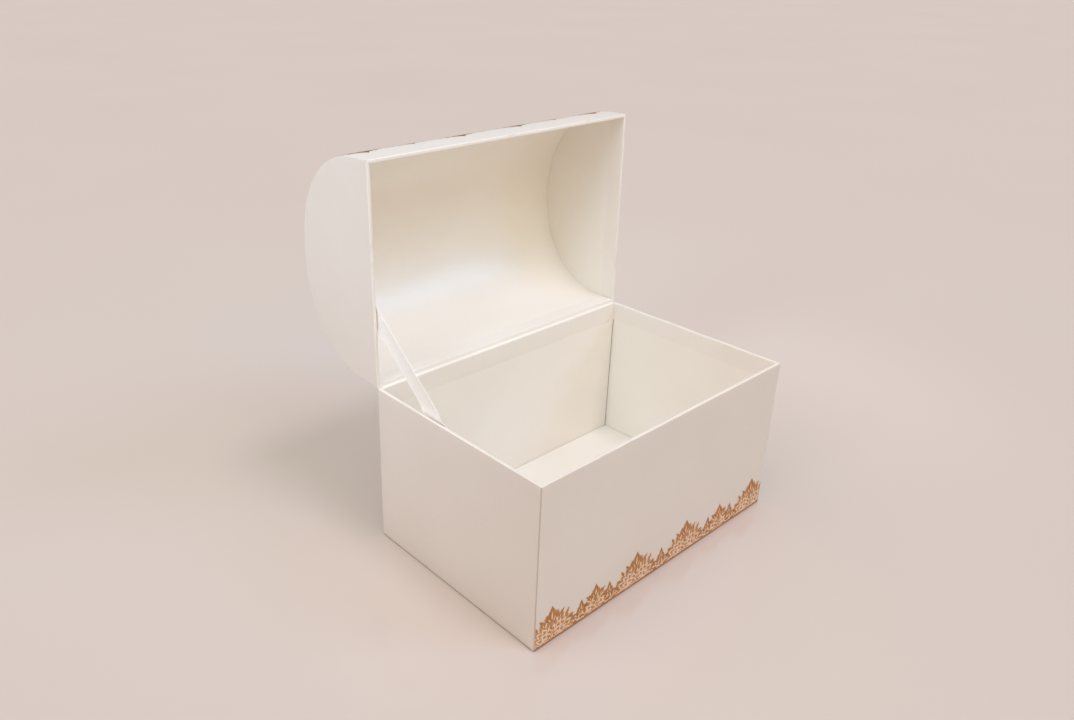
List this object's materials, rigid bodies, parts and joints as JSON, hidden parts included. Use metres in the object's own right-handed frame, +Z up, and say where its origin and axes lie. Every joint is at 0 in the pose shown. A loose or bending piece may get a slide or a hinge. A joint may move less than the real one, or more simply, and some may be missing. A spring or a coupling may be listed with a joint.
{
  "type": "rigid gift box with a domed hinged lid",
  "caption": "Chest-shaped rigid gift box: an open tray and a domed lid on a paper hinge, stopped by a ribbon stay, with a lace-like border printed in copper.",
  "frame": {"origin": "middle of the tray's foot, on the surface that the box stands on", "axes": "+Z up, -Y out of the front of the box, +X to the right seen from the front; the lid stands open at rest"},
  "size_m": [0.3, 0.2921, 0.3364],
  "materials": {
    "greyboard": "raw greyboard",
    "pearl_paper": "satin pearl",
    "cream_paper": "satin cream",
    "copper_print": "printed, satin",
    "satin_ribbon": "satin weave"
  },
  "bodies": {
    "base": {"base_board": "greyboard", "base_bottom_sheet": "pearl_paper", "base_wrap": "pearl_paper", "base_wall_liner": "cream_paper", "base_floor_liner": "cream_paper", "front_border_print": "copper_print", "hinge_outer_strip": "pearl_paper", "hinge_inner_strip": "pearl_paper", "ribbon_stay": "satin_ribbon"},
    "lid": {"lid_crown_board": "greyboard", "lid_end_board_left": "greyboard", "lid_end_board_right": "greyboard", "lid_crown_wrap": "pearl_paper", "lid_end_wrap_left": "pearl_paper", "lid_end_wrap_right": "pearl_paper", "lid_crown_liner": "cream_paper", "lid_end_liner_left": "cream_paper", "lid_end_liner_right": "cream_paper", "lid_border_print": "copper_print"}
  },
  "joints": [
    {"name": "lid_hinge", "type": "hinge", "parent": "base", "child": "lid", "pos_m": [0, 0.095, 0.1464], "axis": [1, 0, 0], "range_deg": [0, 91], "deforming": ["hinge_outer_strip", "hinge_inner_strip", "ribbon_stay"]}
  ]
}
